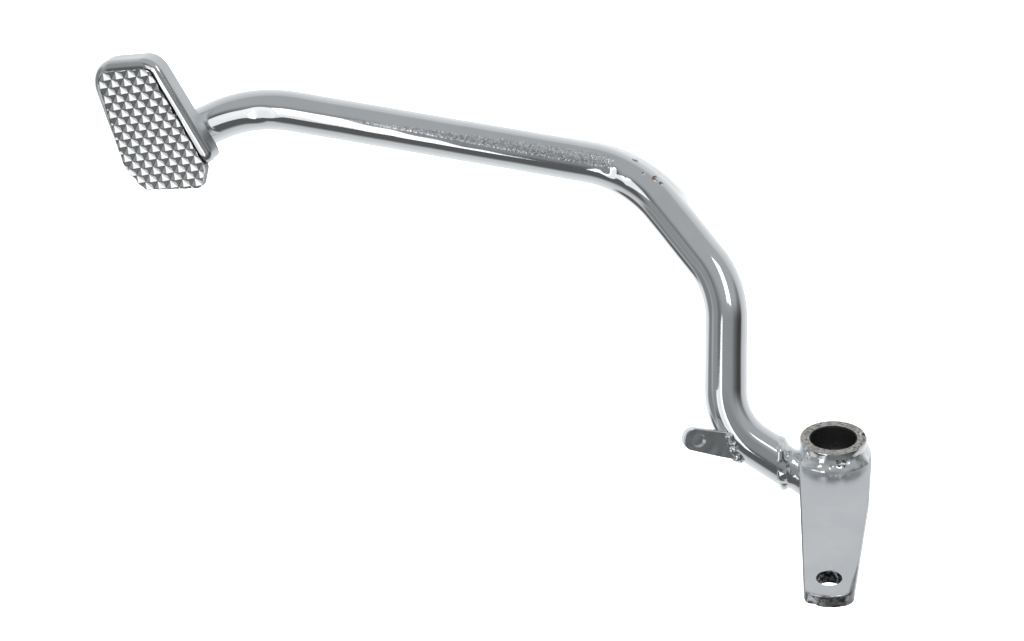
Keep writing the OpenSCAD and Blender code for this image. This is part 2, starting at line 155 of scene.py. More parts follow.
def along_ridges(co, quads):
    """Cuts each four-sided face in two along its higher diagonal, so that a ridge that runs
    from corner to corner stays sharp."""
    z = co[quads, 2]
    first = z[:, 0] + z[:, 2] >= z[:, 1] + z[:, 3]
    one = np.stack([quads[:, [0, 1, 2]], quads[:, [0, 2, 3]]], 1)
    two = np.stack([quads[:, [0, 1, 3]], quads[:, [1, 2, 3]]], 1)
    return np.where(first[:, None, None], one, two).reshape(-1, 3)


def make_piece(name, grids, finish, node, crease=38, ridged=False):
    """A closed piece from grids of (points in mm, wrap rows, wrap columns), in place of a node.
    It rides on the pedal's one body, and creases steeper than crease degrees stay sharp."""
    faces, first = [], 0
    for points, wrap_rows, wrap_cols in grids:
        rows, cols = points.shape[:2]
        faces.append(grid_faces(rows, cols, wrap_rows, wrap_cols, first))
        first += rows * cols
    co = np.concatenate([points.reshape(-1, 3) for points, _, _ in grids]) * MM
    faces = np.concatenate(faces)
    if ridged:
        faces = along_ridges(co, faces)
    mesh = bpy.data.meshes.new(name)
    mesh.vertices.add(len(co))
    mesh.vertices.foreach_set("co", co.ravel())
    mesh.loops.add(faces.size)
    mesh.loops.foreach_set("vertex_index", faces.ravel())
    mesh.polygons.add(len(faces))
    mesh.polygons.foreach_set("loop_start", np.arange(0, faces.size, faces.shape[1]))
    mesh.update(calc_edges=True)
    work = bmesh.new()
    work.from_mesh(mesh)
    bmesh.ops.remove_doubles(work, verts=work.verts, dist=0.004 * MM)
    bmesh.ops.dissolve_degenerate(work, edges=work.edges, dist=0.002 * MM)
    bmesh.ops.recalc_face_normals(work, faces=work.faces)
    open_edges = sum(not e.is_manifold for e in work.edges)
    volume = work.calc_volume(signed=True)
    if volume < 0:
        bmesh.ops.reverse_faces(work, faces=work.faces)
    work.to_mesh(mesh)
    work.free()
    mesh.shade_smooth()
    mesh.set_sharp_from_angle(angle=math.radians(crease))
    piece = in_scene(name, mesh)
    mesh.materials.append(finish)
    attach(piece, "root")
    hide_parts(node)
    solid = f"{open_edges} open edges, {abs(volume) / MM**3:.0f} mm3"
    print(f"{name}: {len(mesh.polygons)} faces, {solid}")


# %% [markdown]
# ## Writing shader maths as Python
# A material in Blender is a graph of nodes. One small class holds a node's output, and
# Python's own signs add the Math nodes, so `1 - mask * 0.5` is already a piece of the
# graph. Colours are blended through a Mix node, because Math nodes turn them grey.

# %% The shader wire
class Wire:
    """One value in a node graph. Adding, multiplying and so on puts in the Math node for it."""

    def __init__(self, tree, socket=None):
        self.tree, self.socket = tree, socket

    def node(self, kind, settings=None, inputs=None, out=0):
        """Adds a node of that kind, sets it up, feeds its sockets and hands back one output."""
        made = self.tree.nodes.new(kind)
        for key, value in (settings or {}).items():
            setattr(made, key, value)
        for key, value in (inputs or {}).items():
            if isinstance(value, Wire):
                self.tree.links.new(value.socket, made.inputs[key])
            else:
                made.inputs[key].default_value = value
        return Wire(self.tree, made.outputs[out] if made.outputs else None)

    def maths(self, operation, *values):
        return self.node("ShaderNodeMath", {"operation": operation}, dict(enumerate(values)))

    def __add__(self, other):
        return self.maths("ADD", self, other)

    def __sub__(self, other):
        return self.maths("SUBTRACT", self, other)

    def __rsub__(self, other):
        return self.maths("SUBTRACT", other, self)

    def __mul__(self, other):
        return self.maths("MULTIPLY", self, other)

    __radd__, __rmul__ = __add__, __mul__

    def ease(self, low, high, start=0.0, end=1.0):
        """An S curve: start where the value is below low, end where it is above high."""
        ranges = {0: self, 1: low, 2: high, 3: start, 4: end}
        return self.node("ShaderNodeMapRange", {"interpolation_type": "SMOOTHSTEP"}, ranges)

    def most(self, other):
        return self.maths("MAXIMUM", self, other)

    def along(self, direction):
        """How far a point lies along a direction."""
        dot = {0: self, 1: tuple(direction)}
        return self.node("ShaderNodeVectorMath", {"operation": "DOT_PRODUCT"}, dot, out=1)

    def gap_to(self, point):
        """The distance from a point."""
        pair = {0: self, 1: tuple(point)}
        return self.node("ShaderNodeVectorMath", {"operation": "DISTANCE"}, pair, out=1)

    def gap_to_axis(self, point):
        """The distance from the line that runs along Y through a point."""
        flat = self.node("ShaderNodeVectorMath", {"operation": "MULTIPLY"}, {0: self, 1: (1, 0, 1)})
        return flat.gap_to((point[0], 0.0, point[2]))

    def noise(self, size, detail=3.0, rough=0.55, stretch=None):
        """Cloudy noise whose blotches are about size metres across."""
        where = self
        if stretch is not None:
            where = self.node("ShaderNodeMapping", {"vector_type": "POINT"}, {0: self, 3: stretch})
        settings = {0: where, 2: 1 / size, 3: detail, 4: rough}
        return self.node("ShaderNodeTexNoise", None, settings)

    def tint(self, dark, light):
        """Blends two colours by this value."""
        inputs = {0: self, 6: dark, 7: light}
        return self.node("ShaderNodeMix", {"data_type": "RGBA"}, inputs, out=2)


def new_finish(name):
    """An empty material, with the point on the object in metres as its first wire."""
    finish = bpy.data.materials.new(name)
    finish.use_nodes = True
    finish.node_tree.nodes.clear()
    start = Wire(finish.node_tree)
    return finish, start.node("ShaderNodeTexCoord", out=3)


def close_finish(finish, colour, rough, relief, depth, metal=1.0):
    """Ends a material: a metal surface with its colour, roughness and fine relief."""
    start = Wire(finish.node_tree)
    shape = {"Strength": 1.0, "Distance": depth, "Height": relief}
    bump = start.node("ShaderNodeBump", None, shape)
    skin = {"Base Color": colour, "Roughness": rough, "Metallic": metal, "Normal": bump}
    surface = start.node("ShaderNodeBsdfPrincipled", None, skin)
    start.node("ShaderNodeOutputMaterial", None, {"Surface": surface})
    return finish


# %% [markdown]
# ## Where the camera stands
# The camera was found from the picture itself. The pivot ring is a true circle, so the
# flatness of its ellipse gives the tilt and its width gives the distance. The part is seen
# from above, behind and outside, with the camera rolled, as if the pedal had been laid on
# a table.

# %% The camera
CAMERA_AT = Vector((0.2357, 0.4450, 0.6783))
AHEAD = unit(np.array([-0.4242, -0.4591, -0.7805]))
UPWARD = np.array([-0.1523, 0.8858, -0.4383])
UPWARD = unit(UPWARD - AHEAD * (UPWARD @ AHEAD))
RIGHT = np.cross(AHEAD, UPWARD)
SENSOR, FOCAL = 36.0, 77.34

lens = bpy.data.cameras.new("camera")
lens.sensor_fit = "HORIZONTAL"
lens.sensor_width = SENSOR
lens.lens = FOCAL
lens.clip_start, lens.clip_end = 0.01, 50.0
camera = in_scene("camera", lens)
turned = Matrix((Vector(RIGHT), Vector(UPWARD), Vector(-AHEAD))).transposed()
camera.matrix_world = Matrix.Translation(CAMERA_AT) @ turned.to_4x4()
bpy.context.scene.camera = camera

# %% [markdown]
# ## A small studio
# The floor is plain and pale. A wide soft lamp overhead lights it and is kept out of the
# mirrors, because chrome would show it as a hard white patch. What the chrome does show
# comes from the world: a pale sweep behind the part, a grey ceiling, and the dimmer room
# round the camera. A narrow bright strip near the camera gives the long streak on the arm,
# a dimmer panel beside it whitens the tread, and a side box lights the bends by the hub.
# Those three stand in one plane in front of the part, square to the camera.

# %% The floor, the lamps and the world
PART_AHEAD, LAMPS_NEAR = 0.82, 0.5


def studio_floor(low):
    """A flat square just under the lowest point of the part."""
    half, z = 3.0, low - 0.0002
    mesh = bpy.data.meshes.new("studio_floor")
    corners = [(-half, -half, z), (half, -half, z), (half, half, z), (-half, half, z)]
    mesh.from_pydata(corners, [], [(0, 1, 2, 3)])
    floor = in_scene("studio_floor", mesh)
    paint = bpy.data.materials.new("pale_floor")
    paint.use_nodes = True
    skin = paint.node_tree.nodes["Principled BSDF"]
    skin.inputs["Base Color"].default_value = (0.9, 0.9, 0.9, 1)
    skin.inputs["Roughness"].default_value = 0.9
    skin.inputs["Specular IOR Level"].default_value = 0.0
    mesh.materials.append(paint)
    floor.visible_glossy = False


def soft_lamp(name, place, turn, size, power, mirrored):
    """A rectangular lamp that shines along its own minus Z: either seen only as the light it
    throws, or seen only in the mirrors."""
    data = bpy.data.lights.new(name, "AREA")
    data.shape = "RECTANGLE"
    data.size, data.size_y = size
    data.energy = power
    lamp = in_scene(name, data)
    lamp.matrix_world = Matrix.Translation(place) @ turn.to_4x4()
    lamp.visible_camera = False
    lamp.visible_glossy = mirrored
    lamp.visible_diffuse = not mirrored


def seen_way(right, up, near):
    """A direction given by its parts to the right, upwards and towards the camera."""
    return RIGHT * right + UPWARD * up - AHEAD * near


def seen_from_camera(right, up, near):
    """A point given in metres right of, above and in front of the middle of the picture."""
    return CAMERA_AT + Vector(AHEAD * PART_AHEAD + seen_way(right, up, near))


studio_floor(cad_low.z)
middle = (cad_low + cad_high) / 2
soft_lamp("overhead", (middle.x, middle.y, 1.6), Matrix.Identity(3), (4.0, 4.0), 230.0, False)
for lamp, right, up, size, power in (
    ("strip", -0.25, -0.19, (0.11, 0.64), 0.36),
    ("panel", -0.545, -0.17, (0.47, 0.56), 0.75),
    ("side_box", 0.20, 0.40, (0.20, 0.40), 0.50),
):
    soft_lamp(lamp, seen_from_camera(right, up, LAMPS_NEAR), turned, size, power, True)


def studio_world():
    """The surroundings as a brightness for each direction, fixed to the part. Three sums set
    it: how far a direction leans to the camera's side, upwards in the picture, and sideways.
    Seen straight by the camera, all of it is white."""
    world = bpy.data.worlds.new("studio")
    bpy.context.scene.world = world
    world.use_nodes = True
    world.node_tree.nodes.clear()
    start = Wire(world.node_tree)
    way = start.node("ShaderNodeTexCoord", out=0)
    toward, high, side = way.along(-AHEAD), way.along(UPWARD), way.along(RIGHT)
    room = toward.ease(0.72, 0.92, 0.12, 0.30)
    ceiling = high.ease(0.10, 0.42)
    lit = room + (0.46 - room) * ceiling
    lit = lit * (1.0 - side.ease(0.70, 0.88) * 0.45)
    lit = lit.most((0.0 - side).ease(0.66, 0.86) * high.ease(-0.45, -0.05) * 0.34)
    sweep = toward.ease(-0.06, 0.24, 1.0, 0.0)
    depth = toward.ease(-0.9, 0.0, 0.98, 0.68)
    left, low_left = unit(seen_way(-0.97, -0.09, -0.22)), unit(seen_way(-0.66, -0.48, -0.58))
    depth = depth - (depth - 0.27) * way.along(left).ease(0.92, 0.98)
    depth = depth - (depth - 0.14) * way.along(low_left).ease(0.95, 0.98)
    bright = lit + (depth - lit) * sweep
    seen = start.node("ShaderNodeLightPath", out=0)
    shown = bright + (1.0 - bright) * seen
    colour = shown.tint((0.0, 0.0, 0.0, 1), (0.97, 0.99, 1.0, 1))
    glow = start.node("ShaderNodeBackground", None, {"Color": colour, "Strength": 1.0})
    start.node("ShaderNodeOutputWorld", None, {"Surface": glow})


studio_world()
bpy.context.scene.view_settings.view_transform = "Standard"

# %% [markdown]
# ## Finishes
# The parts were plated after welding, so one bright metal covers nearly everything. What
# differs is the steel under it: drawn tube is smooth, the plate is a little dull, welds
# are lumpy and pitted, and the saw-cut ring of the pivot tube was left bare and has
# begun to rust. Each finish is the same metal with its own roughness, relief and stains,
# and some carry painted shade in their grooves, pits, edges and holes.

# %% Plated steel
CHROME = (0.78, 0.80, 0.815, 1)
CLOUDED = (0.75, 0.77, 0.79, 1)
SHADED = (0.50, 0.52, 0.54, 1)
RUST = (0.075, 0.052, 0.040, 1)
PIT_SHADE = (0.035, 0.035, 0.038, 1)


def drifting(clouds, dark, light=CHROME):
    """A colour that drifts between two tones with the clouds."""
    return clouds.ease(0.3, 0.7).tint(dark, light)


def tab_plating():
    """The tab: plating over rough flat steel, with clouds in its gloss and an orange peel."""
    finish, place = new_finish("tab_plating")
    clouds = place.noise(0.012)
    peel = place.noise(0.0012, 2.0)
    return close_finish(finish, drifting(clouds, CLOUDED), clouds * 0.10 + 0.16, peel, 0.00001)


def shell_plating():
    """The pad shell: bright on the rim, and duller down the skirt, which is hard to polish."""
    finish, place = new_finish("shell_plating")
    clouds = place.noise(0.012)
    peel = place.noise(0.003, 2.0)
    skirt = place.along((0, 0, 1)).ease(0.0250, 0.0268, 1.0, 0.0)
    colour = drifting(clouds, (0.72, 0.74, 0.76, 1))
    gloss = clouds * 0.06 + skirt * 0.24 + 0.09
    return close_finish(finish, colour, gloss, peel, 0.000004)


def weld_plating(name):
    """Plating over a weld bead: ripples, pits painted near black as shade, and a rougher gloss."""
    finish, place = new_finish(name)
    ripples = place.noise(0.0022, 3.0)
    pits = place.noise(0.0011, 4.0, 0.7).ease(0.66, 0.72)
    cluster = place.gap_to((0.0064, 0.0153, 0.0100)).ease(0.0018, 0.0042, 1.0, 0.0)
    pits = pits.most((cluster * place.noise(0.0010, 3.0, 0.6)).ease(0.46, 0.52))
    # painted shade: the pits and the cluster of pores are coloured near black
    colour = pits.tint(CHROME, PIT_SHADE)
    gloss = place.noise(0.004) * 0.16 + pits * 0.4 + 0.02
    return close_finish(finish, colour, gloss, ripples - pits * 0.9, 0.00007)


RUST_SPOTS = (
    ((-93.7, 104.4, -37.7), 2.4),
    ((-88.6, 101.2, -33.5), 1.5),
    ((-84.0, 99.4, -34.1), 3.0),
    ((-81.2, 97.9, -33.7), 2.2),
)


def arm_plating():
    """The arm's plating: a pebbled streak where the tube was left unpolished, and a few rust
    specks outside the third bend."""
    finish, place = new_finish("arm_plating")
    run = unit(ARM_CORNERS[4] - ARM_CORNERS[3])
    across = unit(np.cross(run, AHEAD))
    across = across if across @ UPWARD > 0 else -across
    start = ARM_CORNERS[3] * MM
    height = (place.along(across) - float(start @ across)) * (1 / (ARM_R * MM))
    along = (place.along(run) - float(start @ run)) * (1 / MM)
    near = place.along(-AHEAD) - float(start @ -AHEAD)
    crumbs = place.noise(0.0011, 2.0, 0.6)
    centre = along.ease(10, 110, 0.12, 0.04)
    width = along.ease(20, 118, 0.30, 0.06)
    gap = (height - centre).maths("ABSOLUTE", height - centre)
    streak = (gap - width).ease(-0.12, 0.06, 1.0, 0.0)
    streak = streak * along.ease(6, 14) * along.ease(100, 128, 1.0, 0.0)
    streak = streak * near.ease(-0.001, 0.003) * crumbs.ease(0.40, 0.52)
    clouds = place.noise(0.014)
    peel = place.noise(0.0016, 2.0)
    spots = None
    for spot, size in RUST_SPOTS:
        here = place.gap_to(np.array(spot) * MM).ease(size * 0.35 * MM, size * MM, 1.0, 0.0)
        spots = here if spots is None else spots.most(here)
    rust = (spots * place.noise(0.0014, 4.0, 0.7)).ease(0.38, 0.52)
    colour = streak.tint(drifting(clouds, CLOUDED), SHADED)
    colour = rust.tint(colour, RUST)
    gloss = clouds * 0.05 + streak * 0.12 + rust * 0.6 + 0.045
    relief = peel * 0.012 + streak * crumbs * 1.2 + rust * 0.5
    return close_finish(finish, colour, gloss, relief, 0.00022, 1.0 - rust * 0.8)


def plate_plating():
    """The lever plate: duller, with faint lines along its length, painted shade along its two
    straight edges, dark scale on its sheared end, and painted patchy shade in the hole."""
    finish, place = new_finish("plate_plating")
    along = place.along(LEVER_Z)
    lines = place.noise(0.004, 4.0, 0.6, stretch=(6.0, 1.0, 1.0))
    clouds = place.noise(0.02)
    tear = place.noise(0.0016, 4.0, 0.75)
    face = place.along(PIVOT)
    shear = along.ease(0.0915, 0.0938) * face.ease(0.0128, 0.0122)
    scale = (shear * tear).ease(0.38, 0.56)
    rim = (along.ease(0.0895, 0.0945) * tear).ease(0.45, 0.75)
    across = place.along(LEVER_X)
    front_gap = across + 0.01315 - along * 0.0508
    rear_gap = 0.0134 - across - (along - 0.0304) * 0.0801
    band = along.ease(0.070, 0.093, 0.0004, 0.0020)
    edges = front_gap.ease(0.0002, 0.0007, 1.0, 0.0).most((band - rear_gap).ease(0.0, 0.0007))
    edges = edges * tear.ease(0.30, 0.60, 0.6, 1.0) * along.ease(0.010, 0.022)
    bored = place.gap_to_axis(LEVER_Z * ROD_ARM * MM).ease(0.0043, 0.0046, 1.0, 0.0)
    patchy = place.noise(0.0012, 3.0).ease(0.45, 0.6)
    colour = drifting(clouds, (0.56, 0.575, 0.595, 1), (0.61, 0.625, 0.64, 1))
    # painted shade: dark lines along the two straight edges, where the drawn-over rims turn from
    # the light
    colour = (edges * 0.85).tint(colour, (0.17, 0.172, 0.176, 1))
    colour = scale.most(rim * 0.6).tint(colour, (0.13, 0.124, 0.118, 1))
    # painted shade: the rod hole's wall is coloured in dark and grey patches
    colour = bored.tint(colour, patchy.tint((0.02, 0.02, 0.022, 1), (0.3, 0.31, 0.32, 1)))
    gloss = clouds * 0.10 + scale * 0.4 + 0.17
    relief = lines * 0.05 + shear * tear
    return close_finish(finish, colour, gloss, relief, 0.0002)


def bare_ring():
    """The pivot tube: plated outside, bare and rusty on its cut ring, and painted nearly black
    inside as shade in the bore.
    """
    finish, place = new_finish("bare_ring")
    radius = place.gap_to_axis((0, 0, 0))
    length = place.along(PIVOT)
    ring = length.maths("ABSOLUTE", length).ease((HALF_TUBE - 0.25) * MM, (HALF_TUBE - 0.05) * MM)
    bore = radius.ease(0.0089, 0.0093, 1.0, 0.0)
    patches = place.noise(0.0035, 5.0, 0.7)
    grit = place.noise(0.0007, 3.0, 0.7)
    stain = (ring * patches).ease(0.40, 0.58)
    specks = (ring * place.noise(0.0012, 4.0, 0.75)).ease(0.52, 0.61)
    nick = place.gap_to(RING_NICK * MM).ease(0.0008, 0.0016, 1.0, 0.0)
    colour = ring.tint(CHROME, (0.47, 0.465, 0.45, 1))
    colour = stain.tint(colour, (0.19, 0.168, 0.15, 1))
    colour = specks.tint(colour, (0.05, 0.045, 0.04, 1))
    # painted shade: the nick is coloured near black
    colour = nick.tint(colour, PIT_SHADE)
    # painted shade: the bore is coloured nearly black and made not metal
    colour = bore.tint(colour, (0.0035, 0.003, 0.0028, 1))
    gloss = ring * 0.33 + bore * 0.5 + place.noise(0.01) * 0.06 + 0.05
    metal = 1.0 - (stain * 0.5).most(bore)
    relief = grit * ring.most(bore) + place.noise(0.002) * 0.02
    return close_finish(finish, colour, gloss, relief, 0.00018, metal)


def tread_plating():
    """The tread: bright faces, with painted shade down in the grooves."""
    finish, place = new_finish("tread_plating")
    height = place.along((0, 0, 1))
    clouds = place.noise(0.006)
    floor, shoulder = (TREAD_FLOOR + 0.02) * MM, (TREAD_FLOOR + 0.14) * MM
    groove = (height + clouds * 0.0001).ease(floor, shoulder, 1.0, 0.0)
    # painted shade: the groove floors between the pyramids are coloured dark grey
    colour = groove.tint((0.95, 0.96, 0.965, 1), (0.30, 0.31, 0.32, 1))
    gloss = clouds * 0.06 + groove * 0.2 + 0.05
    peel = place.noise(0.0009, 2.0)
    return close_finish(finish, colour, gloss, peel, 0.000008)


tube_finish = arm_plating()
weld_finish = weld_plating("weld_plating")
plate_finish = plate_plating()
ring_finish = bare_ring()
shell_finish = shell_plating()
tab_finish = tab_plating()
tread_finish = tread_plating()
print("finishes:", len(bpy.data.materials))

# %% [markdown]
# ## The bent arm
# A tube bender pulls straight tube round a former, so the middle line is straight legs
# joined by arcs. Each of the arm's corners says where two legs would meet, and the arc
# there starts as far back as the radius times the tangent of half the turn. A ring of
# points is carried along that line without twisting, which keeps the reflections running
# in clean bands.

# %% The middle line of the arm
def turned_about(v, axis, angle):
    """v turned about an axis, by the usual sum of a cosine, a sine and an along part."""
    c, s = np.cos(angle)[:, None], np.sin(angle)[:, None]
    return v * c + np.cross(axis, v) * s + axis * (axis @ v) * (1 - c)


def arm_line(spacing=1.3, arc_step=2.5):
    """Points, ways ahead and side directions along the bends and the legs between them."""
    legs = unit(np.diff(ARM_CORNERS, axis=0))
    side = unit(np.cross(legs[0], legs[1]))
    points, ways, sides = [], [], []
    for bend, radius in enumerate(ARM_BENDS):
        before, after = legs[bend], legs[bend + 1]
        angle = math.acos(float(before @ after))
        axis = unit(np.cross(before, after))
        start = ARM_CORNERS[bend + 1] - before * radius * math.tan(angle / 2)
        if points:
            last = points[-1][-1]
            share = np.linspace(0, 1, int(np.linalg.norm(start - last) / spacing) + 2)[1:-1, None]
            points.append(last + (start - last) * share)
            ways.append(np.repeat(before[None], len(share), 0))
            sides.append(np.repeat(side[None], len(share), 0))
        turns = np.linspace(0, angle, int(math.degrees(angle) / arc_step) + 2)
        hub = start + np.cross(axis, before) * radius
        points.append(hub + turned_about(start - hub, axis, turns))
        ways.append(turned_about(before, axis, turns))
        sides.append(turned_about(side, axis, turns))
        side = sides[-1][-1]
    return np.concatenate(points), np.concatenate(ways), np.concatenate(sides)


LINE, WAY, SIDE = arm_line()
ROUND = whole_turn(96)


def rings(points, ways, sides, radius):
    """A circle of points round each station: its side direction times cosine, plus the
    direction square to that and to the way ahead times sine."""
    other = np.cross(ways, sides)
    wheel = sides[:, None] * np.cos(ROUND)[:, None] + other[:, None] * np.sin(ROUND)[:, None]
    return points[:, None] + wheel * radius


def hub_run(radius):
    """For each point of the first ring, the length back to the slanting cut beside the hub."""
    ring = rings(LINE[:1], WAY[:1], SIDE[:1], radius)[0]
    return ring, (ring @ LEVER_X - ARM_CUT) / float(WAY[0] @ LEVER_X)


def pad_run(radius):
    """For each point of the last ring, the length on to the pad's web or to the square end."""
    ring = rings(LINE[-1:], WAY[-1:], SIDE[-1:], radius)[0]
    to_web = (WEB_UNDER - ring[:, 2]) / WAY[-1][2]
    to_end = (ARM_CORNERS[-1] - ring) @ WAY[-1]
    return ring, np.minimum(to_web, to_end)


def arm_skin(radius, hub_trim=0.0):
    """All the rings from the hub's cut to the pad, with their ends stretched to meet the cuts."""
    ring, back = hub_run(radius)
    share = np.linspace(1, 0, 14)[:-1, None, None]
    first = ring - WAY[0] * (back[:, None] - hub_trim) * share
    last_ring, on = pad_run(radius)
    share = np.linspace(0, 1, 26)[1:, None, None]
    last = last_ring + WAY[-1] * on[:, None] * share
    return np.concatenate([first, rings(LINE, WAY, SIDE, radius), last])


# %% [markdown]
# The former and the clamp leave marks: a short pinch where a bend begins. They are real
# dents in the mesh, because a dent shows in a mirror by what it does to the reflections.
# A very slight wave keeps the tube from looking machined.

# %% The arm itself
DIE_MARKS = (
    ((-232.4, 126.2, 12.2), 2.6, 0.55),
    ((-228.3, 124.4, 11.0), 1.5, -0.45),
    ((-100.9, 102.0, -29.9), 1.7, 0.6),
    ((-96.6, 100.0, -29.9), 1.6, -0.35),
)


def pressed(points, outward):
    """Moves points inwards by bells at the die marks and by a faint long wave."""
    depth = 0.05 * lumps(points, 24.0, 5)
    for centre, radius, deep in DIE_MARKS:
        depth = depth + deep * bump_at(points, centre, radius)
    return points - outward * depth[..., None]


def bent_arm():
    """Outer skin, a turned-in rim at the hub end, then the bore's skin back to the start."""
    outer = arm_skin(ARM_R, 0.5)
    inner = arm_skin(ARM_BORE)
    middle = np.concatenate([np.linspace(outer[0].mean(0), LINE[0], 14)[:-1], LINE])
    middle = np.concatenate([middle, outer[len(middle):].mean(1)])
    outward = unit(outer - middle[:, None])
    outer = pressed(outer, outward)
    rim = arm_skin(ARM_R - 0.5)[:1]
    return np.concatenate([outer, inner[::-1], rim])


make_piece("bent_arm", [(bent_arm(), True, True)], tube_finish, "pedal_arm")

# %% [markdown]
# ## The pivot tube
# This is a turned shape: a profile of radius against length, swept once round the pivot
# axis. Its outer ring was sawn and never cleaned up, so the rim wanders a little and has
# one nick knocked into it, with painted shade in the nick.

# %% Turn the pivot tube
def around_pivot(lengths, radii, turns=192):
    """Points at each length along the pivot axis and each angle round it."""
    angle = whole_turn(turns)[None]
    radii, lengths = np.broadcast_arrays(np.asarray(radii), np.asarray(lengths))
    x, z = radii[:, None] * np.cos(angle), radii[:, None] * np.sin(angle)
    return np.stack([x, np.repeat(lengths[:, None], turns, 1), z], -1)


def pivot_tube():
    """A turned profile of length and radius pairs: bore, chamfer, ring face, rounded edge,
    wall, and back again. Then a rough rim and one nick."""
    half = [
        (0.0, BORE_R), (HALF_TUBE - 6, BORE_R), (HALF_TUBE - 0.6, BORE_R),
        (HALF_TUBE - 0.1, BORE_R + 0.5), (HALF_TUBE, BORE_R + 0.8),
        (HALF_TUBE, 10.4), (HALF_TUBE, 11.2), (HALF_TUBE, TUBE_R - 0.5),
        (HALF_TUBE - 0.12, TUBE_R - 0.16), (HALF_TUBE - 0.45, TUBE_R),
        (HALF_TUBE - 1.5, TUBE_R), (HALF_TUBE - 3.0, TUBE_R), (HALF_TUBE - 6.0, TUBE_R),
        (HALF_TUBE - 12.0, TUBE_R), (0.0, TUBE_R),
    ]
    near = np.array(half)
    profile = np.concatenate([near, near[1:-1][::-1] * [-1, 1]])
    points = around_pivot(profile[:, 0], profile[:, 1])
    rim = ease(points[..., 1], HALF_TUBE - 1.0, HALF_TUBE - 0.3)
    rough = lumps(points, 3.0, 11) * 0.07 + lumps(points, 1.3, 12) * 0.04
    nick = bump_at(points, RING_NICK, 1.2)
    points[..., 1] -= rim * np.abs(rough) + nick * 0.9
    return points


make_piece("pivot_sleeve", [(pivot_tube(), True, True)], ring_finish, "pivot_tube")

# %% [markdown]
# ## Plates with a hole
# The lever and the side tab are both flat plates with a rounded outline and one hole or
# recess. From the hole, every point of the outline can be seen, so the face is simply
# the straight lines from the hole's edge to the outline. One profile is carried all
# round: face, rounded edge, wall, other edge, other face.

# %% Outlines with rounded corners
def rounded_loop(corners, step=0.45):
    """A closed line through corners (x, y, radius), clockwise, with an arc at each corner."""
    corners = np.array(corners, float)
    flat = corners[:, :2]
    before, after = flat - np.roll(flat, 1, 0), np.roll(flat, -1, 0) - flat
    before, after = unit(before), unit(after)
    inward = np.stack([before[:, 1], -before[:, 0]], -1)
    angle = np.arccos(np.clip((before * after).sum(-1), -1, 1))
    parts = []
    for at, back, side, turn, radius in zip(flat, before, inward, angle, corners[:, 2]):
        hub = at - back * radius * math.tan(turn / 2) + side * radius
        steps = np.linspace(0, turn, max(2, int(turn * radius / step) + 2))
        start = math.atan2(-side[1], -side[0])
        parts.append(hub + radius * circle(start - steps))
    return np.concatenate(parts)


def resampled(loop, count):
    """The same closed line with evenly spaced points, counted from its first point."""
    closed = np.concatenate([loop, loop[:1]])
    run = np.concatenate([[0], np.cumsum(np.linalg.norm(np.diff(closed, axis=0), axis=1))])
    at = np.linspace(0, run[-1], count + 1)[:-1]
    return np.stack([np.interp(at, run, closed[:, 0]), np.interp(at, run, closed[:, 1])], -1)


def plate_section(loop, thick, hole, hole_r, edge, blind=None):
    """Rows of (x, y, height) from the hole out over the face, round the edge and back under.
    With blind set, the hole is a recess of that depth and the back closes at one point."""
    way = unit(np.roll(loop, -1, 0) - np.roll(loop, 1, 0))
    inward = np.stack([way[:, 1], -way[:, 0]], -1)
    spoke = unit(loop - hole)
    count = len(loop)

    def level(flat, height):
        return np.concatenate([flat, np.full((count, 1), height)], 1)

    def rounded(a, face, down):
        flat = loop + inward * edge * (1 - math.sin(a))
        return level(flat, face - down * edge * (1 - math.cos(a)))

    lip = 0.25
    share = np.linspace(0, 1, 26)
    inner, outer = hole + spoke * (hole_r + lip), loop + inward * edge
    front = [level(inner + (outer - inner) * s, 0.0) for s in share]
    bend = np.radians([30, 60, 90])
    round_front = [rounded(a, 0.0, 1) for a in bend]
    wall = [level(loop, -edge - (thick - 2 * edge) * s) for s in np.linspace(0, 1, 9)[1:]]
    round_back = [rounded(a, -thick, -1) for a in bend[::-1][1:]]
    if blind is None:
        back = [level(inner + (outer - inner) * s, -thick) for s in share[::-1]]
        bored = [level(hole + spoke * hole_r, z) for z in (-thick + lip, -thick * 0.5, -lip)]
        return np.stack(front + round_front + wall + round_back + back + bored)
    back = [level(hole + (outer - hole) * s, -thick) for s in share[::-1]]
    floor = [level(hole + spoke * hole_r * s, -blind) for s in (0.0, 0.35, 0.7, 0.92)]
    floor += [level(hole + spoke * hole_r, -blind * 0.85), level(hole + spoke * hole_r, -lip)]
    return np.stack(floor + front + round_front + wall + round_back + back)


# %% [markdown]
# ## The rod lever
# The lever was sheared from thick strip. Its face is flat and a little dull, its edges
# are slightly drawn over, and the end by the rod hole is torn and dark with a chip out
# of one corner. The brake rod's pin goes through the hole, which has a burr above it.

# %% Cut the rod lever
LEVER_ROOT, ROOT_SHIFT = 13.7, 0.6
LEVER_CROWN, TIP_HALF = 2.2, 8.4
SHOULDER = (13.4, 0.32 * LEVER_LEN)


def touch(hub, radius, point, side):
    """Heading from a circle's middle to where a line from the point touches it: the point's
    own heading, less or plus the angle whose cosine is the radius over the distance."""
    gap = np.array(point) - hub
    return math.atan2(gap[1], gap[0]) - side * math.acos(radius / math.hypot(*gap))


def lever_outline():
    """The round end, a straight front edge, the crowned rod end and a rear edge with a shoulder."""
    hub, tip = np.array([ROOT_SHIFT, 0.0]), LEVER_LEN - LEVER_CROWN
    first = touch(hub, LEVER_ROOT, SHOULDER, 1)
    last = touch(hub, LEVER_ROOT, (-TIP_HALF, tip), -1) - math.tau
    turn = np.linspace(first, last, 120)
    arc = hub + LEVER_ROOT * circle(turn)
    upper = rounded_loop([
        (*arc[-1], 0.01), (-TIP_HALF, tip, 5.0), (0, LEVER_LEN, 12), (TIP_HALF, tip, 5.0),
        (*SHOULDER, 30), (*arc[0], 0.01),
    ])
    return resampled(np.concatenate([upper, arc[1:-1]]), 420)


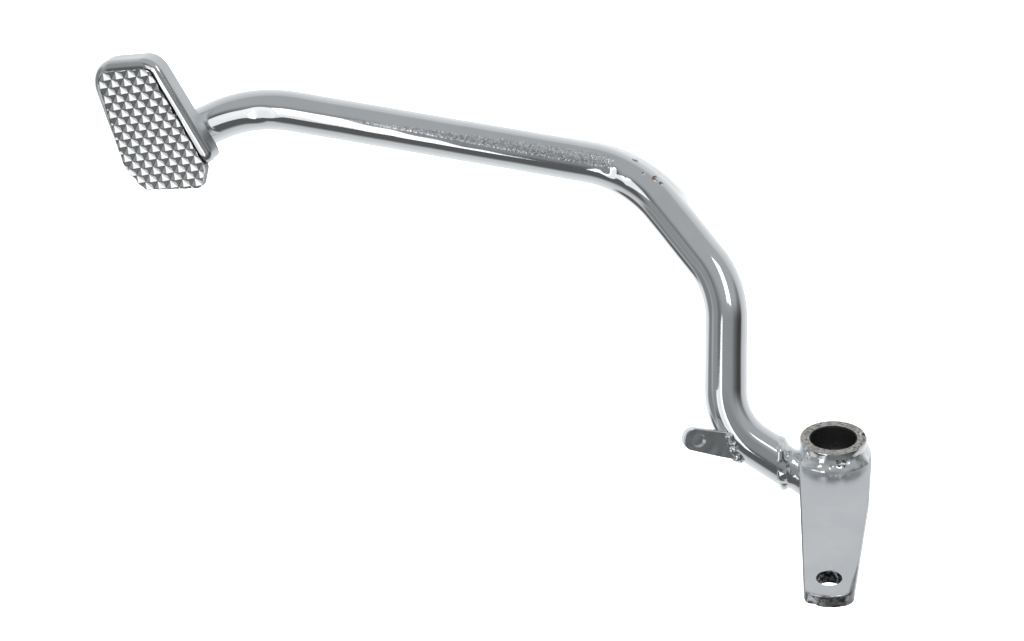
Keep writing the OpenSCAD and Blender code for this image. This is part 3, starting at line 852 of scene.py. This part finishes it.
def rod_lever():
    """The plate section laid along the lever, with a torn end, a chip and a burr."""
    hole = np.array([0.0, ROD_ARM])
    rows = plate_section(lever_outline(), PLATE_FRONT - PLATE_BACK, hole, ROD_R, 0.55)
    across, along, height = rows[..., 0], rows[..., 1], rows[..., 2]
    wall = ease(-height, 0.3, 1.2) * ease(height, -5.1, -4.2)
    rough = lumps(rows, 2.2, 21) * 0.16 + lumps(rows, 0.9, 22) * 0.08
    torn = ease(along, LEVER_LEN - 5.0, LEVER_LEN - 2.0)
    side_wear = lumps(rows, 7.0, 24) * 0.10 * (np.abs(across) > TIP_HALF - 0.6)
    chip = bump_at(rows, (-5.6, LEVER_LEN - 0.4, -4.2), 1.7) * 2.0
    burr = bump_at(rows, (1.2, ROD_ARM - ROD_R - 0.7, 0.0), 1.5)
    along = along - torn * (np.abs(rough) * (0.35 + wall) + chip)
    across = across * (1 - 0.006 * wall * side_wear)
    height = height + burr * (0.12 + 0.3 * lumps(rows, 1.0, 23)) * (height > -0.4)
    across, along, height = across[..., None], along[..., None], height[..., None]
    return LEVER_X * across + LEVER_Z * along + PIVOT * (PLATE_FRONT + height)


lever_grid = (rod_lever(), True, True)
make_piece("rod_lever_plate", [lever_grid], plate_finish, "rod_lever", 32)

# %% [markdown]
# ## Welds round the hub
# The plate is welded to the tube on both faces. Each bead's profile is swept round the
# pivot, held inside the plate's edge, and pushed in and out by noise of two sizes. A few
# pores are punched in the outer one.

# %% Run the hub beads
def make_bead(name, grids, node):
    """A piece of weld in place of a node: lumpy, so only the steepest creases stay sharp."""
    make_piece(name, grids, weld_finish, node, 60)


def hub_bead(plate_y, leg, rise, seed, pores=()):
    """A ring from the plate's face up the tube: length falls and radius grows as a hollow curve,
    with the foot held within the plate."""
    turns = 260
    angle = whole_turn(turns)
    heading = np.stack([np.cos(angle), 0 * angle, np.sin(angle)], -1)
    toward_rod, rear = heading @ LEVER_Z, heading @ LEVER_X
    edge = ROOT_SHIFT * rear + np.sqrt((LEVER_ROOT - 0.1) ** 2 - (ROOT_SHIFT * toward_rod) ** 2)
    side = np.where(rear > 0, 13.4, 12.1) / np.maximum(np.abs(rear), 0.2)
    edge = np.where(toward_rod > 0, np.maximum(edge, side), edge)
    foot = np.minimum(TUBE_R + leg, edge)
    foot = foot + 0.16 * lumps(heading * 13, 7.0, seed) * ease(edge, TUBE_R + leg, TUBE_R + leg + 2)
    share = np.linspace(0, 1, 22)[:, None]
    radius = TUBE_R - 0.25 + (foot - TUBE_R + 0.25) * (1 - share) ** 1.25
    radius = np.concatenate([radius, np.full((2, turns), TUBE_R - 0.9)])
    height = np.concatenate([rise * share**0.9, [[rise - 0.1], [0.0]]]) + 0 * angle
    up = math.copysign(1.0, plate_y - (PLATE_BACK + PLATE_FRONT) / 2)
    points = heading * radius[..., None] + PIVOT * (plate_y + up * height[..., None])
    free = np.concatenate([np.sin(np.pi * np.clip(share, 0, 1)) ** 0.6, [[0.0], [0.0]]])
    outward = unit(heading * 0.75 + PIVOT * up * 0.65)
    swell = 0.14 * lumps(points, 9.0, seed + 1) + 0.025 * lumps(points, 2.6, seed + 2)
    for centre, size, deep in pores:
        swell = swell - deep * bump_at(points, centre, size)
    return points + outward * (swell * free)[..., None]


outer_pores = (
    ((6.3, 15.4, 11.0), 0.9, 1.1),
    ((8.4, 16.2, 9.6), 0.7, 0.9),
    ((4.0, 14.6, 13.2), 0.6, 0.7),
    ((-6.0, 15.0, 12.0), 0.6, 0.5),
)
outer_bead = hub_bead(PLATE_FRONT, 2.9, 4.4, 31, outer_pores)
inner_bead = hub_bead(PLATE_BACK, 2.4, 3.0, 41)
make_bead("hub_bead_outer", [(outer_bead, True, True)], "lever_weld_outer")
make_bead("hub_bead_inner", [(inner_bead, True, True)], "lever_weld_inner")

# %% [markdown]
# ## The weld that holds the arm
# The arm's end is cut on a slant beside the hub. A lumpy bead goes round the cut, and a
# smoother neck of weld metal fills the space to the hub. Both follow the slant, so the
# same sum that ends the arm also sets each ring of the bead.

# %% Run the arm's bead and neck
def arm_bead():
    """Rings at given radii, each set back from the slanting cut by its own length."""
    steps = [
        (0.01, -3.6), (5.8, -3.8), (7.0, -3.4), (8.02, -3.2), (8.3, -2.6), (8.5, -1.8),
        (8.5, -1.0), (8.3, -0.2), (7.9, 0.5), (7.4, 1.1), (7.1, 1.8), (6.9, 2.6), (6.9, 3.6),
        (7.0, 4.8), (7.1, 6.2), (7.1, 8.0), (5.0, 9.0), (0.01, 9.2),
    ]
    rows = []
    for radius, ahead in steps:
        ring, back = hub_run(radius)
        rows.append(ring - WAY[0] * (back[:, None] + ahead))
    points = np.stack(rows)
    middle = points.mean(1, keepdims=True)
    outward = unit(points - middle)
    ahead = np.array(steps)[:, 1:]
    wild = ease(ahead, -3.9, -2.5) * ease(-ahead, -2.2, -0.4) + 0.25
    swell = 0.55 * lumps(points, 6.0, 51) + 0.16 * lumps(points, 2.2, 52)
    return points + outward * (swell * wild)[..., None]


make_bead("arm_bead", [(arm_bead(), False, True)], "arm_weld")

# %% [markdown]
# ## The side tab
# A small plate stands out from the first bend, with a shallow round recess near its tip.
# It is laid by three turns: a heading, a tilt and a turn in its own plane. A short fat
# bead holds it, built up as a row of lumps.

# %% Make the tab and its bead
def turn_z(angle):
    c, s = math.cos(math.radians(angle)), math.sin(math.radians(angle))
    return np.array([[c, -s, 0], [s, c, 0], [0, 0, 1]])


def turn_y(angle):
    c, s = math.cos(math.radians(angle)), math.sin(math.radians(angle))
    return np.array([[c, 0, s], [0, 1, 0], [-s, 0, c]])


TAB_TURN = turn_z(22.3) @ turn_y(44.5) @ turn_z(142.6)
TAB_AT = np.array([-33.06, 17.62, 16.3])


def on_tab(points):
    """Points drawn flat, moved to where the tab is."""
    return points @ TAB_TURN.T + TAB_AT


def side_tab():
    """The plate section with a blind recess, its root buried in the arm."""
    tip, half = 4.15, 4.85
    loop = rounded_loop([
        (16.3 + tip, tip, tip * 0.98), (16.3 + tip, -tip, tip * 0.98), (4.5, -half, 8),
        (-6.0, -half, 0.6), (-6.0, half, 0.6), (4.5, half, 8),
    ])
    seat = np.array([14.7, 0.0])
    rows = plate_section(resampled(loop, 220), 4.0, seat, 2.4, 0.45, blind=1.2)
    rows[..., 2] += 0.05 * lumps(rows, 6.0, 61)
    return on_tab(rows)


def tab_bead():
    """A fat worm of weld: circles along the root line, narrowing to both ends, pushed by noise."""
    share = np.linspace(0, 1, 40)[:, None]
    start, end = np.array([3.6, -5.6, -1.0]), np.array([-4.8, 5.4, -1.0])
    middle = start + (end - start) * share
    way = unit(end - start)
    up = np.array([0.0, 0.0, 1.0])
    side = np.cross(way, up)
    girth = 2.9 * np.sqrt(np.clip(1 - (2 * share - 1) ** 6, 0, 1))
    wheel = side * np.cos(ROUND)[:, None] * 1.05 + up * np.sin(ROUND)[:, None] * 0.95
    points = middle[:, None] + wheel * girth[..., None]
    swell = 0.5 * lumps(points, 3.6, 71) + 0.25 * lumps(points, 1.5, 72)
    return on_tab(points + wheel * (swell * np.minimum(1, girth))[..., None])


tab_grid = (side_tab(), False, True)
make_piece("side_tab_plate", [tab_grid], tab_finish, "side_tab", 32)
make_bead("tab_bead", [(tab_bead(), False, True)], "tab_weld")

# %% [markdown]
# ## The pressed pad shell
# The pad's body is thick sheet pressed over a former: a rounded rim on three sides, a
# flat seat for the tread, and a skirt turned down. From a point inside the pad, each
# direction crosses every wall once, so each wall is a distance for each angle.

# %% Press the shell
PAD_CENTRE = np.array([-272.0, 124.0])
SHELL_PLAN = [
    (-301.9, 146.2, 12.0), (-268.5, 152.0, 9.0), (-245.0, 110.0, 4.0), (-290.3, 100.4, 3.6),
]
TREAD_PLAN = [
    (-296.0, 143.3, 6.0), (-270.0, 147.6, 3.5), (-249.2, 108.3, 3.5),
    (-252.4, 98.9, 4.0), (-281.0, 94.2, 4.0), (-289.6, 103.6, 6.0),
]
SHELL_ROUND, SHELL_CROWN, SHELL_SHEET, SLOT, CLOSE_FIT = 3.0, 4.0, 2.0, 1.0, 0.05
REAR_EDGE = np.array([TREAD_PLAN[1][:2], TREAD_PLAN[2][:2]])
REAR_OUT = unit((REAR_EDGE[1] - REAR_EDGE[0]) @ [[0, 1], [-1, 0]])


def inset_plan(plan, gap):
    """A plan with its sides moved inwards by gap and its corner radii cut by as much."""
    plan = np.array(plan, float)
    flat = plan[:, :2]
    before, after = unit(flat - np.roll(flat, 1, 0)), unit(np.roll(flat, -1, 0) - flat)
    inward = np.stack([before[:, 1] + after[:, 1], -before[:, 0] - after[:, 0]], -1)
    flat = flat + inward * gap / (1 + (before * after).sum(-1, keepdims=True))
    return np.concatenate([flat, np.maximum(plan[:, 2:] - gap, 0.2)], 1)


def open_ended(plan, far=30.0):
    """A four-cornered plan whose last end is pulled out past the pad's open side."""
    plan = np.array(plan, float)
    flat = plan[:, :2]
    right, left = unit(flat[2] - flat[1]), unit(flat[0] - flat[3])
    plan[2, :2] += right * far
    plan[3, :2] -= left * far
    plan[2:, 2] = 0.2
    return plan


def reach(loop, angles):
    """Distance from the pad's centre to a closed line, for each angle."""
    dense = resampled(loop, 1600) - PAD_CENTRE
    bearing = np.arctan2(dense[:, 1], dense[:, 0])
    order = np.argsort(bearing)
    return np.interp(angles, bearing[order], np.linalg.norm(dense[order], axis=1), period=math.tau)


def seat_plan():
    """The seat's plan: a close fit round the tread, and moved out by the slot on the rear edge."""
    plan = np.array([TREAD_PLAN[0], TREAD_PLAN[1], TREAD_PLAN[2], TREAD_PLAN[5]])
    way = unit(plan[1, :2] - plan[0, :2])
    plan[1:3, :2] += way * SLOT / (way @ REAR_OUT)
    return inset_plan(plan, -CLOSE_FIT)


def pad_shell():
    """Rows from the middle of the seat, out over the rim and the skirt, and back under the web."""
    angles = np.linspace(-math.pi, math.pi, 721)[:-1]
    heading = circle(angles)

    def wall(plan):
        return reach(rounded_loop(plan), angles)

    outer = wall(SHELL_PLAN)
    seat = np.minimum(wall(open_ended(seat_plan())), outer)
    room = np.minimum(wall(open_ended(inset_plan(SHELL_PLAN, SHELL_SHEET))), outer)
    rim = ease(outer - seat, 0.0, 0.25)
    skirt = ease(outer - room, 0.0, 0.25)
    bends = np.linspace(0, math.pi / 2, 11)
    slack = np.clip(1 - (outer - seat) / SHELL_CROWN, 0, 1)
    crest = PAD_TOP - SHELL_ROUND * (1 - np.sqrt(1 - slack**2))
    rows = [(seat * s, SEAT_Z + 0 * seat) for s in (0.0, 0.3, 0.6, 0.85)]
    rows += [(seat, SEAT_Z + 0 * seat), (seat, SEAT_Z + (crest - 0.15 - SEAT_Z) * rim)]
    rows += [(seat + 0.15 * rim, SEAT_Z + (crest - SEAT_Z) * rim)]
    for a in bends[::-1]:
        inset = SHELL_CROWN * (1 - math.cos(a))
        line = np.maximum(wall(inset_plan(SHELL_PLAN, inset)), seat + 0.15 * rim)
        height = np.minimum(PAD_TOP - SHELL_ROUND * (1 - math.sin(a)), crest)
        rows.append((line, SEAT_Z + (height - SEAT_Z) * rim))
    low = WEB_UNDER + (LIP_Z - WEB_UNDER) * skirt
    side = SEAT_Z + (PAD_TOP - SHELL_ROUND - SEAT_Z) * rim
    rows += [(outer, side * (1 - s) + low * s) for s in (0.35, 0.7, 0.95)]
    rows += [(outer - 0.3 * skirt, low), (room + 0.3 * skirt, low), (room, low + 0.3 * skirt)]
    rows += [(room, WEB_UNDER + 0 * room)]
    rows += [(room * s, WEB_UNDER + 0 * room) for s in (0.7, 0.35, 0.0)]
    flat = np.stack([PAD_CENTRE + heading * r[:, None] for r, _ in rows])
    return np.concatenate([flat, np.stack([h for _, h in rows])[..., None]], -1)


shell_grid = (pad_shell(), False, True)
make_piece("pad_shell_pressing", [shell_grid], shell_finish, "pad_shell", 34)

# %% [markdown]
# ## The diamond tread
# Two sets of V-grooves cross nearly at a right angle and leave a field of small pyramids.
# The height at a point is the lower of the two sets' heights. The grid follows the
# grooves, and each row is cut off where it meets the plate's outline. A soft
# lower-of-two rounds the ridges a little, as plating does.

# %% Cut the tread
PITCH, HOLLOW = 4.45, 0.08
TREAD_MIDDLE = np.array([-272.0, 122.0])
HEADINGS = np.radians([-33.2, 56.6])
ACROSS = np.stack([-np.sin(HEADINGS), np.cos(HEADINGS)], -1)


def ridge_height(at):
    """Height of one set of ridges: 1 on the ridge, 0 in the groove, and nearly straight between."""
    gap = np.abs(at - PITCH * np.round(at / PITCH))
    share = 1 - gap / (PITCH / 2)
    return share - HOLLOW * share * (1 - share)


def soft_lower(a, b, blend):
    """The lower of two values, with the crease rounded over about blend."""
    return 0.5 * (a + b - np.sqrt((a - b) ** 2 + blend**2) + blend * 0.35)


def tread_plate():
    """One closed loop a row: over the pyramids, down the wall, under, and up the other wall.
    The first and the last row shrink to their own middle, so both ends close."""
    loop = (resampled(rounded_loop(TREAD_PLAN), 1400) - TREAD_MIDDLE) @ ACROSS.T
    rows_at = cols_at = PITCH / 16 * np.arange(-240, 241)
    rows_at = rows_at[(rows_at > loop[:, 1].min()) & (rows_at < loop[:, 1].max())]
    rows_at = np.concatenate([[loop[:, 1].min()], rows_at, [loop[:, 1].max()]])
    low, high = loop[:, 1].argmin(), loop[:, 1].argmax()
    chain = np.roll(loop, -low, 0)
    split = (high - low) % len(loop)
    one, two = chain[: split + 1], np.concatenate([chain[split:], chain[:1]])[::-1]
    side_1 = np.interp(rows_at, one[:, 1], one[:, 0])
    side_2 = np.interp(rows_at, two[:, 1], two[:, 0])
    left, right = np.minimum(side_1, side_2), np.maximum(side_1, side_2)
    cols_at = cols_at[(cols_at > left.min()) & (cols_at < right.max())]
    across = np.clip(cols_at[None], left[:, None], right[:, None])
    along = np.repeat(rows_at[:, None], len(cols_at), 1)
    share = soft_lower(ridge_height(across), ridge_height(along), 0.012)
    worn = 0.02 * lumps(np.stack([across, along, 0 * along], -1), 9.0, 81)
    height = TREAD_FLOOR + (TREAD_TOP - TREAD_FLOOR) * np.clip(share + worn * share, 0, 1)
    edge = np.minimum(across - left[:, None], right[:, None] - across)
    height = height - 0.12 * (1 - ease(edge, 0.0, 0.25))
    ends = np.stack([right, left], 1)
    walls_at = np.concatenate([ends[:, :1], ends[:, :1], ends[:, 1:], ends[:, 1:]], 1)
    walls_z = np.array([27.5, SEAT_Z, SEAT_Z, 27.5]) + 0 * walls_at
    across = np.concatenate([across, walls_at], 1)
    along = np.concatenate([along, np.repeat(rows_at[:, None], 4, 1)], 1)
    height = np.concatenate([height, walls_z], 1)
    flat = np.stack([across, along], -1) @ np.linalg.inv(ACROSS).T + TREAD_MIDDLE
    rows = np.concatenate([flat, height[..., None]], -1)
    first, last = (0 * row + row.mean(1, keepdims=True) for row in (rows[:1], rows[-1:]))
    return np.concatenate([first, rows, last])


tread_grid = (tread_plate(), False, True)
make_piece("diamond_tread", [tread_grid], tread_finish, "tread_plate", 12, True)

# %% [markdown]
# ## Small tacks and the bead under the pad
# Two tacks in the slot pin the tread to the shell. A rough bead ties the arm's end to the
# web: a small ring carried along the line where they meet, and kept below the web.

# %% Tacks and the hidden bead
def tack(place, size, seed):
    """A low dome: circles that shrink to the top as a quarter ellipse, pushed by noise."""
    rise = np.linspace(0, math.pi / 2, 12)[:, None]
    wheel = np.stack([np.cos(ROUND[::4]), np.sin(ROUND[::4]), 0 * ROUND[::4]], -1)
    points = wheel[None] * (size * np.cos(rise))[..., None]
    points[..., 2] = 2.4 * np.sin(rise)
    points = np.concatenate([points[:1] * [0, 0, 1], points])
    points = points + np.array([place[0], place[1], SEAT_Z])
    push = 0.22 * lumps(points, 1.6, seed) * np.concatenate([[[0.0]], np.cos(rise)])
    return points + (points - points.mean((0, 1))) * push[..., None] * 0.6


def in_slot(share):
    """The middle of the slot's floor, a share of the way along the tread's rear edge."""
    return REAR_EDGE[0] + (REAR_EDGE[1] - REAR_EDGE[0]) * share + REAR_OUT * (SLOT + CLOSE_FIT) / 2


tacks = [tack(in_slot(0.47), 1.1, 91), tack(in_slot(0.585), 1.0, 92)]
make_bead("slot_tacks", [(points, False, True) for points in tacks], "tread_tacks")


def pad_bead():
    """A ring of small circles along the arm's end, held under the web."""
    ring, on = pad_run(ARM_R)
    line = ring + WAY[-1] * on[:, None]
    outward = unit(ring - ring.mean(0))
    turn = whole_turn(18)
    size = 1.3 + 0.25 * lumps(line, 7.0, 95)
    out, back = np.cos(turn)[:, None] * size, np.sin(turn)[:, None] * size
    points = line[None] + outward[None] * out[..., None] - WAY[-1] * back[..., None]
    points = points + (outward * (0.4 * lumps(points, 2.5, 96))[..., None])
    points[..., 2] = np.minimum(points[..., 2], WEB_UNDER + 0.2)
    return points


make_bead("pad_bead", [(pad_bead(), True, True)], "pad_weld")
